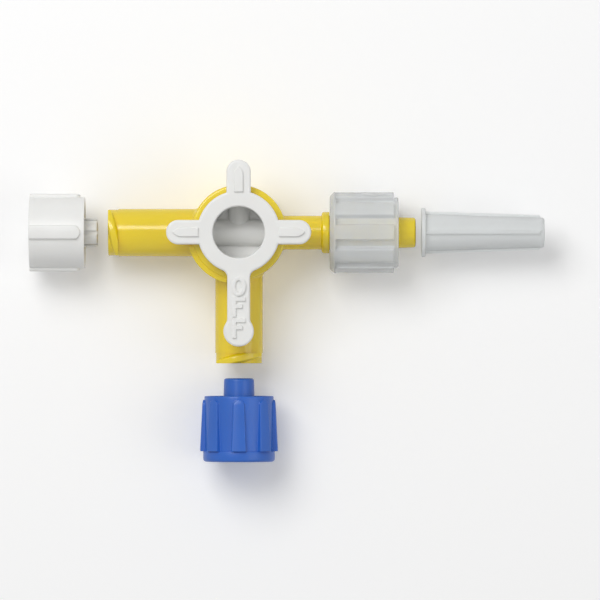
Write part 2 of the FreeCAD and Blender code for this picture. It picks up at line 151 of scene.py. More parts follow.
@dataclass(frozen=True)
class Places:
    """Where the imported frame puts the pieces, in mm."""

    boxes: dict[str, tuple[Vector, ...]]
    travels: dict[str, float]

    @classmethod
    def from_frame(cls) -> "Places":
        """Reads each node's box, and how far each sliding body goes in to its seat."""
        boxes = {name: tuple(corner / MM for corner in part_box(name)) for name in frame["nodes"]}
        joints = frame["record"]["behaviour"]["joints"]
        travels = {joint["child"]: -joint["range_m"][0] / MM for joint in joints if "range_m" in joint}
        return cls(boxes, travels)

    def span(self, node: str, arm: Arm) -> tuple[float, float]:
        """Where a node starts and ends along an arm, from the valve axis."""
        outward = Vector(arm.value)
        start, end = sorted(corner.dot(outward) for corner in self.boxes[node])
        return start, end

    @property
    def port_height(self) -> float:
        """The height of the arms' axes, which is the collar's middle."""
        low, high = self.boxes["lock_collar"]
        return (low.z + high.z) / 2

    @property
    def hub_height(self) -> float:
        """The height of the hub's top."""
        return self.boxes["body"][1].z

    @property
    def port_reach(self) -> float:
        """How far both ports reach from the valve axis."""
        return self.span("body", Arm.INLET)[1]

    @property
    def male_reach(self) -> float:
        """How far the male tip reaches from the valve axis."""
        return self.span("body", Arm.MALE)[1]


def spread(start: float, end: float, steps: int) -> list[float]:
    """Evenly spaced values from start to end, both included."""
    return [start + (end - start) * index / steps for index in range(steps + 1)]


def polar(radius: float, angle: float, centre: Sequence[float] = (0.0, 0.0)) -> Vector:
    """The flat point at a radius and an angle in radians about a centre."""
    return Vector((centre[0] + radius * math.cos(angle), centre[1] + radius * math.sin(angle)))


def arc(centre: Sequence[float], radius: float, start: float, end: float, steps: int) -> list[Vector]:
    """Flat points on an arc, its angles in degrees and both ends included."""
    angles = spread(math.radians(start), math.radians(end), steps)
    return [polar(radius, angle, centre) for angle in angles]


def mirrored(points: Sequence[Vector]) -> list[Vector]:
    """Flat points taken to the other side of the X axis, in the opposite order."""
    return [Vector((point.x, -point.y)) for point in reversed(points)]


def wheeled(points: Sequence[Vector], share: float) -> list[Vector]:
    """Flat points turned about the origin by a share of a whole turn."""
    turn = Matrix.Rotation(math.tau * share, 2)
    return [turn @ point for point in points]


def cleaned(mesh: Mesh) -> Mesh:
    """Merges doubles, drops faces with no area and points every face outwards."""
    bmesh.ops.remove_doubles(mesh, verts=mesh.verts, dist=MERGE)
    bmesh.ops.dissolve_degenerate(mesh, dist=MERGE, edges=mesh.edges)
    bmesh.ops.recalc_face_normals(mesh, faces=mesh.faces)
    return mesh


def bevelled(
    mesh: Mesh,
    picked: Iterable[bmesh.types.BMEdge | bmesh.types.BMVert],
    width: float,
    steps: int = 3,
    what: Rounded = Rounded.EDGES,
) -> Mesh:
    """Rounds the given edges or corners off.

    Args:
        mesh: the mesh that holds them.
        picked: the edges or corners to round.
        width: how far the rounding reaches from each, in mm.
        steps: how many faces make the rounding.
        what: whether edges or corners are given.

    Returns:
        The same mesh.
    """
    bmesh.ops.bevel(
        mesh,
        geom=list(picked),
        offset=width,
        offset_type="OFFSET",
        segments=steps,
        profile=0.5,
        affect=what.value,
        clamp_overlap=True,
        material=-1,
    )
    return mesh


def spun(mesh: Mesh, steps: int, angle: float = math.tau, rise: float = 0.0) -> Mesh:
    """Spins all of a mesh about Z.

    Args:
        mesh: an outline in the XZ plane.
        steps: how many faces the spin makes.
        angle: how far it goes round, in radians.
        rise: how far it climbs on the way, in mm.

    Returns:
        The same mesh.
    """
    bmesh.ops.spin(
        mesh,
        geom=mesh.verts[:] + mesh.edges[:] + mesh.faces[:],
        cent=(0.0, 0.0, 0.0),
        axis=(0.0, 0.0, 1.0),
        dvec=(0.0, 0.0, rise / steps),
        angle=angle,
        steps=steps,
        use_merge=angle == math.tau,
    )
    return mesh


def flat_face(points: Iterable[Sequence[float]]) -> tuple[Mesh, list[bmesh.types.BMVert]]:
    """A new mesh with one face, and the face's corners in their order."""
    mesh = bmesh.new()
    verts = [mesh.verts.new(point) for point in points]
    mesh.faces.new(verts)
    return mesh, verts


def raised(mesh: Mesh, rise: float) -> Mesh:
    """Raises a flat mesh, which looks up, into a solid."""
    made = bmesh.ops.extrude_face_region(mesh, geom=mesh.faces[:])["geom"]
    top = [item for item in made if isinstance(item, bmesh.types.BMVert)]
    bmesh.ops.translate(mesh, verts=top, vec=(0.0, 0.0, rise))
    bmesh.ops.recalc_face_normals(mesh, faces=mesh.faces)
    return mesh


def turned(*corners: Corner, steps: int = AROUND, filled: bool = True) -> Mesh:
    """Spins an outline about Z into a solid.

    Args:
        corners: the outline's corners.
        steps: how many faces go round.
        filled: whether both ends of the outline go in to the axis. If not, they meet each other.

    Returns:
        A closed mesh.
    """
    if filled:
        corners = (Corner(0, corners[0].height), *corners, Corner(0, corners[-1].height))
    mesh, verts = flat_face((corner.radius, 0.0, corner.height) for corner in corners)
    for vert, corner in zip(verts, corners):
        if corner.rounding > 0:
            bevelled(mesh, [vert], corner.rounding, ROUND_STEPS, Rounded.CORNERS)
    bmesh.ops.delete(mesh, geom=mesh.faces[:], context="FACES_ONLY")
    on_axis = [edge for edge in mesh.edges if all(vert.co.x < TINY for vert in edge.verts)]
    bmesh.ops.delete(mesh, geom=on_axis, context="EDGES")
    return cleaned(spun(mesh, steps))


def rod(radius: float, low: float, high: float, steps: int = AROUND_LUMEN) -> Mesh:
    """A plain round bar about Z, from one height to another."""
    return turned(Corner(radius, low), Corner(radius, high), steps=steps)


def prism(outline: Sequence[Vector], low: float, high: float) -> Mesh:
    """Raises a flat outline, anticlockwise, from one height to another."""
    mesh, _ = flat_face((point.x, point.y, low) for point in outline)
    return raised(mesh, high - low)


def edges_at(mesh: Mesh, height: float) -> list[bmesh.types.BMEdge]:
    """The edges that lie flat at a height."""
    return [edge for edge in mesh.edges if all(abs(vert.co.z - height) < TINY for vert in edge.verts)]


def moved(mesh: Mesh, matrix: Matrix) -> Mesh:
    """The same mesh, turned and moved by a matrix."""
    bmesh.ops.transform(mesh, matrix=matrix, verts=mesh.verts)
    return mesh


def about_z(mesh: Mesh, degrees: float) -> Mesh:
    """The same mesh, turned about Z."""
    return moved(mesh, Matrix.Rotation(math.radians(degrees), 4, "Z"))


def shifted(mesh: Mesh, height: float) -> Mesh:
    """The same mesh, moved along Z."""
    return moved(mesh, Matrix.Translation((0.0, 0.0, height)))


def as_object(name: str, mesh: Mesh) -> bpy.types.Object:
    """Puts a mesh in the scene as an object and frees it."""
    data = bpy.data.meshes.new(name)
    mesh.to_mesh(data)
    mesh.free()
    shown = bpy.data.objects.new(name, data)
    bpy.context.scene.collection.objects.link(shown)
    return shown


def joined(target: Mesh, tool: Mesh, how: Join) -> Mesh:
    """Joins two closed solids exactly and uses both up.

    Args:
        target: the solid that is kept.
        tool: the solid that is added to it or taken from it.
        how: whether to unite, cut or keep what they share.

    Returns:
        The new solid.
    """
    base = as_object("join_target", target)
    other = as_object("join_tool", tool)
    modifier = base.modifiers.new("join", "BOOLEAN")
    modifier.operation = how.value
    modifier.solver = "EXACT"
    modifier.object = other
    graph = bpy.context.evaluated_depsgraph_get()
    result = bmesh.new()
    result.from_object(base, graph)
    for used in (base, other):
        data = used.data
        bpy.data.objects.remove(used)
        bpy.data.meshes.remove(data)
    bmesh.ops.remove_doubles(result, verts=result.verts, dist=MERGE)
    return result


def united(parts: Sequence[Mesh]) -> Mesh:
    """All the solids as one."""
    whole = parts[0]
    for part in parts[1:]:
        whole = joined(whole, part, Join.UNITE)
    return whole


def cut_by(target: Mesh, tools: Sequence[Mesh]) -> Mesh:
    """The target less every tool."""
    for tool in tools:
        target = joined(target, tool, Join.CUT)
    return target


@dataclass(frozen=True)
class Helix:
    """A right-hand ridge wound about Z, such as a thread or a lug, in mm."""

    foot: float
    crest: float
    foot_width: float
    crest_width: float
    lead: float
    rounding: float = 0.12

    def ridge(self, height: float, middle: float, sweep: float) -> Mesh:
        """Winds one ridge.

        Args:
            height: where the ridge's middle is along Z.
            middle: the angle of its middle about Z, in degrees.
            sweep: how far it winds, in degrees.

        Returns:
            A closed mesh.
        """
        foot, crest = self.foot_width / 2, self.crest_width / 2
        outline = ((self.foot, -foot), (self.crest, -crest), (self.crest, crest), (self.foot, foot))
        mesh, verts = flat_face((radius, 0.0, along) for radius, along in outline)
        for vert in verts[1:3]:
            bevelled(mesh, [vert], self.rounding, 3, Rounded.CORNERS)
        rise = self.lead * sweep / 360
        spun(mesh, round(AROUND * sweep / 360), math.radians(sweep), rise)
        bmesh.ops.recalc_face_normals(mesh, faces=mesh.faces)
        about_z(mesh, middle - sweep / 2)
        return shifted(mesh, height - rise / 2)


@dataclass(frozen=True)
class Section:
    """One cross-section of a ribbed grip, in mm."""

    height: float
    wall: float
    crest: float
    width: float


@dataclass(frozen=True)
class Grip:
    """The ribbed outside of a collar, cap or sleeve, lofted along Z."""

    count: int
    crest_round: float
    root_round: float
    gap_steps: int
    crest_steps: int = 3
    flat_rise: float = 0.02
    most_of_rise: float = 0.45
    most_of_width: float = 0.4

    def half_outline(self, section: Section) -> list[Vector]:
        """Points from a rib's middle to the middle of the gap beside it, anticlockwise."""
        rise = max(section.crest - section.wall, self.flat_rise)
        crest = section.wall + rise
        rise_limit = rise * self.most_of_rise
        crest_round = min(self.crest_round, rise_limit, section.width * self.most_of_width)
        root_round = min(self.root_round, rise_limit)
        half = section.width / 2
        level = half - crest_round
        toe_y = half + root_round
        shoulder = math.sqrt(crest**2 - level**2)
        toe = math.sqrt(section.wall**2 - toe_y**2)
        points = [Vector((math.sqrt(crest**2 - y**2), y)) for y in spread(0, level, self.crest_steps)[:-1]]
        points += arc((shoulder - crest_round, level), crest_round, 0, 90, ROUND_STEPS)
        points += arc((toe + root_round, toe_y), root_round, 270, 180, 3)
        gap = spread(math.atan2(toe_y, toe), math.pi / self.count, self.gap_steps)
        points += [polar(section.wall, angle) for angle in gap[1:]]
        return points

    def ring(self, section: Section) -> list[Vector]:
        """All the points of one cross-section, anticlockwise."""
        half = self.half_outline(section)
        period = mirrored(half[1:-1]) + half
        return [point for index in range(self.count) for point in wheeled(period, index / self.count)]

    def loft(self, sections: Sequence[Section]) -> Mesh:
        """Joins the cross-sections from the lowest to the highest and closes both ends."""
        mesh = bmesh.new()
        station = mesh.verts.layers.int.new("station")
        first = self.ring(sections[0])
        verts = bmesh.ops.create_circle(mesh, cap_ends=True, segments=len(first), radius=1.0)["verts"]
        for index, vert in enumerate(verts):
            vert[station] = index
            vert.co = (*first[index], sections[0].height)
        edges = mesh.edges[:]
        for section in sections[1:]:
            points = self.ring(section)
            made = bmesh.ops.extrude_edge_only(mesh, edges=edges)["geom"]
            edges = [item for item in made if isinstance(item, bmesh.types.BMEdge)]
            for item in made:
                if isinstance(item, bmesh.types.BMVert):
                    item.co = (*points[item[station]], section.height)
        bmesh.ops.edgeloop_fill(mesh, edges=edges)
        return cleaned(mesh)


def nose_sections(start: Section, nose: float) -> list[Section]:
    """The cross-sections over which a rib rises and widens to its full size.

    Args:
        start: the rib's full cross-section, at the height where its nose begins.
        nose: the nose's length in mm.

    Returns:
        The cross-sections, the first one without a rib.
    """
    least = start.width * NOSE_WIDTH
    made = [Section(start.height - TINY, start.wall, start.wall, least)]
    for share in spread(0.0, 1.0, NOSE_STEPS):
        width = max(least, start.width * math.sqrt(1 - (1 - share) ** 2))
        crest = start.crest - nose * NOSE_DROP * (1 - share) ** NOSE_POWER
        made.append(Section(start.height + nose * share, start.wall, crest, width))
    return made


def rounded_end(last: Section, rounding: float) -> list[Section]:
    """The cross-sections that round a grip's far edge off, where it would end in full."""
    made = []
    for angle in spread(0.0, math.pi / 2, ROUND_STEPS):
        inset = rounding * (1 - math.cos(angle))
        height = last.height - rounding * (1 - math.sin(angle))
        made.append(Section(height, last.wall - inset, last.crest - inset, last.width))
    return made


def rounded_start(first: Section, rounding: float) -> list[Section]:
    """The cross-sections that round a grip's near edge off."""
    made = rounded_end(replace(first, height=-first.height), rounding)
    return [replace(item, height=-item.height) for item in reversed(made)]


def rib_stop(last: Section, rounding: float) -> list[Section]:
    """The cross-sections that end the ribs where the wall runs on.

    Args:
        last: the full cross-section, where the ribs end.
        rounding: the radius of the ribs' end in mm.

    Returns:
        The cross-sections, the last one without ribs.
    """
    made = [replace(item, wall=last.wall) for item in rounded_end(last, rounding)]
    return [*made, Section(last.height + TINY, last.wall, last.wall, last.width)]


class Wiring:
    """Adds nodes to a tree and joins them up."""

    def __init__(self, tree: bpy.types.NodeTree) -> None:
        """Works on one tree."""
        self.tree = tree

    def feed(self, node: bpy.types.Node, sources: dict) -> bpy.types.Node:
        """Gives a node's inputs their values, or the sockets that they take them from."""
        for label, source in sources.items():
            if isinstance(source, bpy.types.NodeSocket):
                self.tree.links.new(source, node.inputs[label])
            else:
                node.inputs[label].default_value = source
        return node

    def add(self, kind: str, sources: dict | None = None, **settings: object) -> bpy.types.Node:
        """A new node of a kind, with its settings and what its inputs take."""
        node = self.tree.nodes.new(kind)
        for key, value in settings.items():
            setattr(node, key, value)
        return self.feed(node, sources or {})

    def math(self, operation: str, first: object, second: object) -> bpy.types.NodeSocket:
        """What an operation makes of two values or sockets."""
        return self.add("ShaderNodeMath", {0: first, 1: second}, operation=operation).outputs[0]


class Skin(Wiring):
    """The moulded skin that every plastic here shares, as one node group.

    It puts out a tone to multiply the colour by, a roughness and a height.
    """

    name = "moulded_skin"
    inputs = ("Cloud Scale", "Grain Scale", "Tone Change", "Roughness", "Roughness Change", "Grain Height")
    outputs = ("Tone", "Roughness", "Height")
    noise_range = (0.3, 0.7)
    cloud_detail = 3.0
    grain_detail = 2.0

    def __init__(self) -> None:
        """Builds the group's sockets and nodes."""
        super().__init__(bpy.data.node_groups.new(self.name, "ShaderNodeTree"))
        for way, labels in (("INPUT", self.inputs), ("OUTPUT", self.outputs)):
            for label in labels:
                self.tree.interface.new_socket(label, in_out=way, socket_type="NodeSocketFloat")
        given = self.add("NodeGroupInput").outputs
        cloud = self.noise(given["Cloud Scale"], self.cloud_detail)
        grain = self.noise(given["Grain Scale"], self.grain_detail)
        darkest = self.math("SUBTRACT", 1.0, given["Tone Change"])
        change = self.ranged(grain, 0.0, given["Roughness Change"])
        made = {
            "Tone": self.ranged(cloud, darkest, 1.0),
            "Roughness": self.math("ADD", given["Roughness"], change),
            "Height": self.math("MULTIPLY", grain, given["Grain Height"]),
        }
        self.add("NodeGroupOutput", made)

    def noise(self, scale: bpy.types.NodeSocket, detail: float) -> bpy.types.NodeSocket:
        """A noise over the piece's own coordinates."""
        place = self.add("ShaderNodeTexCoord").outputs["Object"]
        sources = {"Vector": place, "Scale": scale, "Detail": detail}
        return self.add("ShaderNodeTexNoise", sources).outputs["Fac"]

    def ranged(self, source: bpy.types.NodeSocket, low: object, high: object) -> bpy.types.NodeSocket:
        """Spreads a noise's usual range between two values or sockets."""
        least, most = self.noise_range
        sources = {"Value": source, "From Min": least, "From Max": most, "To Min": low, "To Max": high}
        return self.add("ShaderNodeMapRange", sources).outputs["Result"]


def new_material(name: str) -> tuple[bpy.types.Material, Wiring]:
    """A new material with its plain shader, and the wiring of its nodes."""
    material = bpy.data.materials.new(name)
    material.use_nodes = True
    return material, Wiring(material.node_tree)


@dataclass(frozen=True)
class Plastic:
    """One moulded plastic's finish."""

    slot: Slot
    colour: tuple[float, float, float]
    roughness: float
    grain_height: float
    tone_change: float = 0.04
    roughness_change: float = 0.08
    grain_scale: float = 7000.0
    cloud_scale: float = 220.0
    clearness: float = 0.0
    ior: float = 1.5
    glow: float = 0.0
    glow_depth: float = 1.0
    glow_spread: tuple[float, float, float] = (1.0, 0.9, 0.8)
    bump_depth: float = 0.00002

    def material(self, skin: Skin) -> bpy.types.Material:
        """Builds the material, named after its slot, on the shared skin."""
        material, wiring = new_material(self.slot.value)
        given = {label: getattr(self, label.lower().replace(" ", "_")) for label in skin.inputs}
        made = wiring.add("ShaderNodeGroup", given, node_tree=skin.tree).outputs
        colours = {"Factor": 1.0, "A": (*self.colour, 1.0), "B": made["Tone"]}
        tint = wiring.add("ShaderNodeMix", colours, data_type="RGBA", blend_type="MULTIPLY")
        bump = wiring.add("ShaderNodeBump", {"Distance": self.bump_depth, "Height": made["Height"]})
        sources = {
            "Base Color": tint.outputs["Result"],
            "Roughness": made["Roughness"],
            "Normal": bump.outputs["Normal"],
            "IOR": self.ior,
            "Transmission Weight": self.clearness,
            "Subsurface Weight": self.glow,
            "Subsurface Scale": self.glow_depth * MM,
            "Subsurface Radius": self.glow_spread,
        }
        wiring.feed(material.node_tree.nodes["Principled BSDF"], sources)
        return material


SATIN_WHITE = Plastic(
    Slot.HANDLE,
    colour=(0.86, 0.86, 0.84),
    roughness=0.3,
    grain_height=0.4,
    glow=0.1,
    glow_depth=0.6,
)

PLASTICS = (
    SATIN_WHITE,
    replace(SATIN_WHITE, slot=Slot.VENTED_CAP),
    Plastic(
        Slot.BODY,
        colour=(1.0, 0.75, 0.01),
        roughness=0.1,
        grain_height=0.04,
        grain_scale=900.0,
        cloud_scale=120.0,
        clearness=0.15,
        ior=1.58,
        glow=0.25,
        glow_depth=1.2,
    ),
    Plastic(
        Slot.COLLAR,
        colour=(0.94, 0.96, 0.97),
        roughness=0.18,
        grain_height=0.02,
        grain_scale=900.0,
        cloud_scale=150.0,
        clearness=0.55,
        ior=1.46,
    ),
    Plastic(
        Slot.PORT_CAP,
        colour=(0.02, 0.13, 0.56),
        roughness=0.28,
        grain_height=0.4,
        tone_change=0.08,
        glow=0.05,
        glow_depth=0.4,
    ),
    Plastic(
        Slot.SLEEVE,
        colour=(0.93, 0.95, 0.95),
        roughness=0.34,
        grain_height=0.02,
        grain_scale=1500.0,
        cloud_scale=150.0,
        clearness=0.4,
        ior=1.46,
    ),
)


@dataclass
class Moulding:
    """What every piece here is: one solid that stands for one node."""

    places: Places
    materials: dict[Slot, bpy.types.Material]
    node: str = ""
    body: str = ""
    slot: Slot = Slot.BODY
    arm: Arm | None = None

    def span(self) -> tuple[float, float]:
        """Where the piece starts and ends along its own arm, in mm."""
        return self.places.span(self.node, self.arm)

    def solid(self) -> Mesh:
        """The piece's mesh in mm, along its own arm."""
        raise NotImplementedError

    def build(self) -> bpy.types.Object:
        """Makes the piece, lays it in its place, dresses it and lets it ride on its body."""
        mesh = self.solid()
        if self.arm is not None:
            moved(mesh, self.arm.matrix(self.places.port_height))
        moved(mesh, Matrix.Scale(MM, 4))
        triangles = sum(len(face.verts) - 2 for face in mesh.faces)
        open_edges = sum(1 for edge in mesh.edges if not edge.is_manifold)
        piece = as_object(f"{self.node}_moulding", mesh)
        data = piece.data
        data.polygons.foreach_set("use_smooth", [True] * len(data.polygons))
        data.set_sharp_from_angle(angle=SHARP_ANGLE)
        data.materials.append(self.materials[self.slot])
        weighted = piece.modifiers.new("even_shading", "WEIGHTED_NORMAL")
        weighted.keep_sharp = True
        weighted.weight = FACE_WEIGHT
        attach(piece, self.body)
        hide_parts(self.node)
        log.info("%s: %d triangles, %d open edges", piece.name, triangles, open_edges)
        return piece


@dataclass(frozen=True)
class CoreTaper:
    """The draft that the valve core and its bore share, in mm and degrees."""

    radius: float = 4.65
    draft: float = 0.8

    def at(self, above: float) -> float:
        """The core's radius at a height above the hub's top."""
        return self.radius + above * math.tan(math.radians(self.draft))


@dataclass
class Body(Moulding):
    """The valve body: hub barrel, two sockets with thread lugs, and the male arm."""

    node: str = "body"
    body: str = "valve_body"
    slot: Slot = Slot.BODY
    hub_radius: float = 6.25
    hub_round: float = 0.3
    port_radius: float = 3.15
    root_round: float = 0.5
    lug_zone: float = 1.35
    lug_step: float = 0.1
    lug_sweep: float = 100.0
    lug: Helix = Helix(2.95, 3.9, 1.5, 0.8, 5.0)
    mouth_radius: float = 2.15
    mouth_break: float = 0.12
    socket_depth: float = 8.0
    floor_round: float = 0.2
    taper_slope: float = 0.03
    lumen_radius: float = 1.05
    neck_radius: float = 2.25
    neck_root_round: float = 0.35
    shoulder_radius: float = 2.75
    shoulder_width: float = 1.0
    shoulder_round: float = 0.3
    journal_length: float = 1.32
    barb_rise: float = 0.2
    barb_length: float = 0.7
    tip_radius: float = 1.98
    tip_round: float = 0.3
    rim_half_width: float = 0.65
    rim_height: float = 2.6
    rim_drop: float = 0.2
    rim_from: float = 197.0
    rim_to: float = 256.0
    rim_steps: int = 24
    ledge_height: float = 1.5
    undercut_radius: float = 5.245
    taper: CoreTaper = CoreTaper()
    core_gap: float = 0.035
    play: float = 0.06

    def root(self, radius: float, rounding: float) -> Mesh:
        """The radius that blends an arm's root into the hub's round wall.

        Args:
            radius: the arm's radius.
            rounding: the blend's radius.

        Returns:
            A closed ring that lies on the hub, about Z.
        """
        inside, sunk, lip = 0.4, 0.02, 0.04
        inner, outer, top = radius - inside, radius + rounding + lip, rounding + lip
        ring = turned(
            Corner(inner, -inside),
            Corner(outer, -inside),
            Corner(outer, -sunk),
            Corner(radius - sunk, -sunk, rounding),
            Corner(radius - sunk, top),
            Corner(inner, top),
            steps=AROUND_ARM,
            filled=False,
        )
        for vert in ring.verts:
            vert.co.z += math.sqrt(self.hub_radius**2 - vert.co.y**2)
        return ring

    def port(self) -> Mesh:
        """One female port's outside, with its two thread lugs."""
        reach = self.places.port_reach
        zone_start = reach - self.lug_zone
        end_radius = self.port_radius - self.lug_step
        tube = turned(
            Corner(self.port_radius, 0),
            Corner(self.port_radius, zone_start),
            Corner(end_radius, zone_start),
            Corner(end_radius, reach, PLAIN_EDGE),
            steps=AROUND_ARM,
        )
        parts = [tube, self.root(self.port_radius, self.root_round)]
        for middle in (0.0, 180.0):
            lug = self.lug.ridge(reach - self.lug_zone / 2, middle, self.lug_sweep)
            band = rod(self.hub_radius, zone_start + TINY, reach - TINY)
            parts.append(joined(lug, band, Join.KEEP_SHARED))
        return united(parts)

    def socket(self) -> Mesh:
        """What is cut from a port: the taper socket and its lumen."""
        reach = self.places.port_reach
        floor = reach - self.socket_depth
        edge = self.mouth_break
        return turned(
            Corner(self.lumen_radius, 0),
            Corner(self.lumen_radius, floor, FINE_EDGE),
            Corner(self.mouth_radius - self.socket_depth * self.taper_slope, floor, self.floor_round),
            Corner(self.mouth_radius - edge * self.taper_slope, reach - edge),
            Corner(self.mouth_radius + edge, reach),
            Corner(self.mouth_radius + edge, reach + CLEAR),
            steps=AROUND_ARM,
        )

    def male_arm(self) -> Mesh:
        """The male arm: neck, shoulder ring, collar journal, snap barb and taper."""
        end = self.places.male_reach
        shoulder_end = self.places.span("lock_collar", Arm.MALE)[0] - self.play
        shoulder_start = shoulder_end - self.shoulder_width
        barb_start = shoulder_end + self.journal_length
        barb_end = barb_start + self.barb_length
        arm = turned(
            Corner(self.neck_radius, 0),
            Corner(self.neck_radius, shoulder_start, SOFT_EDGE),
            Corner(self.shoulder_radius, shoulder_start, self.shoulder_round),
            Corner(self.shoulder_radius, shoulder_end, FINE_EDGE),
            Corner(self.neck_radius, shoulder_end),
            Corner(self.neck_radius, barb_start),
            Corner(self.neck_radius + self.barb_rise, barb_start, CRISP_EDGE),
            Corner(self.tip_radius + (end - barb_end) * self.taper_slope, barb_end, FINE_EDGE),
            Corner(self.tip_radius, end, self.tip_round),
            steps=AROUND_ARM,
        )
        return united([arm, self.root(self.neck_radius, self.neck_root_round)])

    def rim(self) -> Mesh:
        """The raised rim segment round the lower left of the hub."""
        top = self.places.hub_height - self.rim_drop
        foot = top - self.rim_height
        inner = self.hub_radius - self.rim_half_width
        outer = self.hub_radius + self.rim_half_width
        outline = ((inner, foot), (outer, foot), (outer, top), (inner, top))
        mesh, _ = flat_face((radius, 0.0, height) for radius, height in outline)
        spun(mesh, self.rim_steps, math.radians(self.rim_to - self.rim_from))
        bmesh.ops.recalc_face_normals(mesh, faces=mesh.faces)
        outside = [
            edge
            for edge in mesh.edges
            if edge.calc_face_angle(0.0) > SHARP_ANGLE
            and all(math.hypot(vert.co.x, vert.co.y) > self.hub_radius for vert in edge.verts)
        ]
        bevelled(mesh, outside, SOFT_EDGE)
        return about_z(mesh, self.rim_from)

    def bore(self) -> Mesh:
        """What is cut from the hub: the tapered bore and the snap undercut."""
        top = self.places.hub_height
        mouth = self.undercut_radius + FINE_EDGE
        return turned(
            Corner(mouth, -CLEAR),
            Corner(mouth, 0),
            Corner(self.undercut_radius, FINE_EDGE),
            Corner(self.undercut_radius, self.ledge_height, FINE_EDGE),
            Corner(self.taper.at(self.ledge_height - top) + self.core_gap, self.ledge_height),
            Corner(self.taper.at(CLEAR) + self.core_gap, top + CLEAR),
        )

    def solid(self) -> Mesh:
        """The whole body, in the part's own frame."""
        top = self.places.hub_height
        inlet, side, male = (arm.matrix(self.places.port_height) for arm in Arm)
        radius, rounding = self.hub_radius, self.hub_round
        barrel = turned(Corner(radius, 0, rounding), Corner(radius, top, rounding))
        ports = [moved(self.port(), inlet), moved(self.port(), side)]
        lumen = rod(self.lumen_radius, 0, self.places.male_reach + CLEAR)
        tools = [self.bore(), moved(self.socket(), inlet), moved(self.socket(), side), moved(lumen, male)]
        return cut_by(united([barrel, *ports, moved(self.male_arm(), male), self.rim()]), tools)


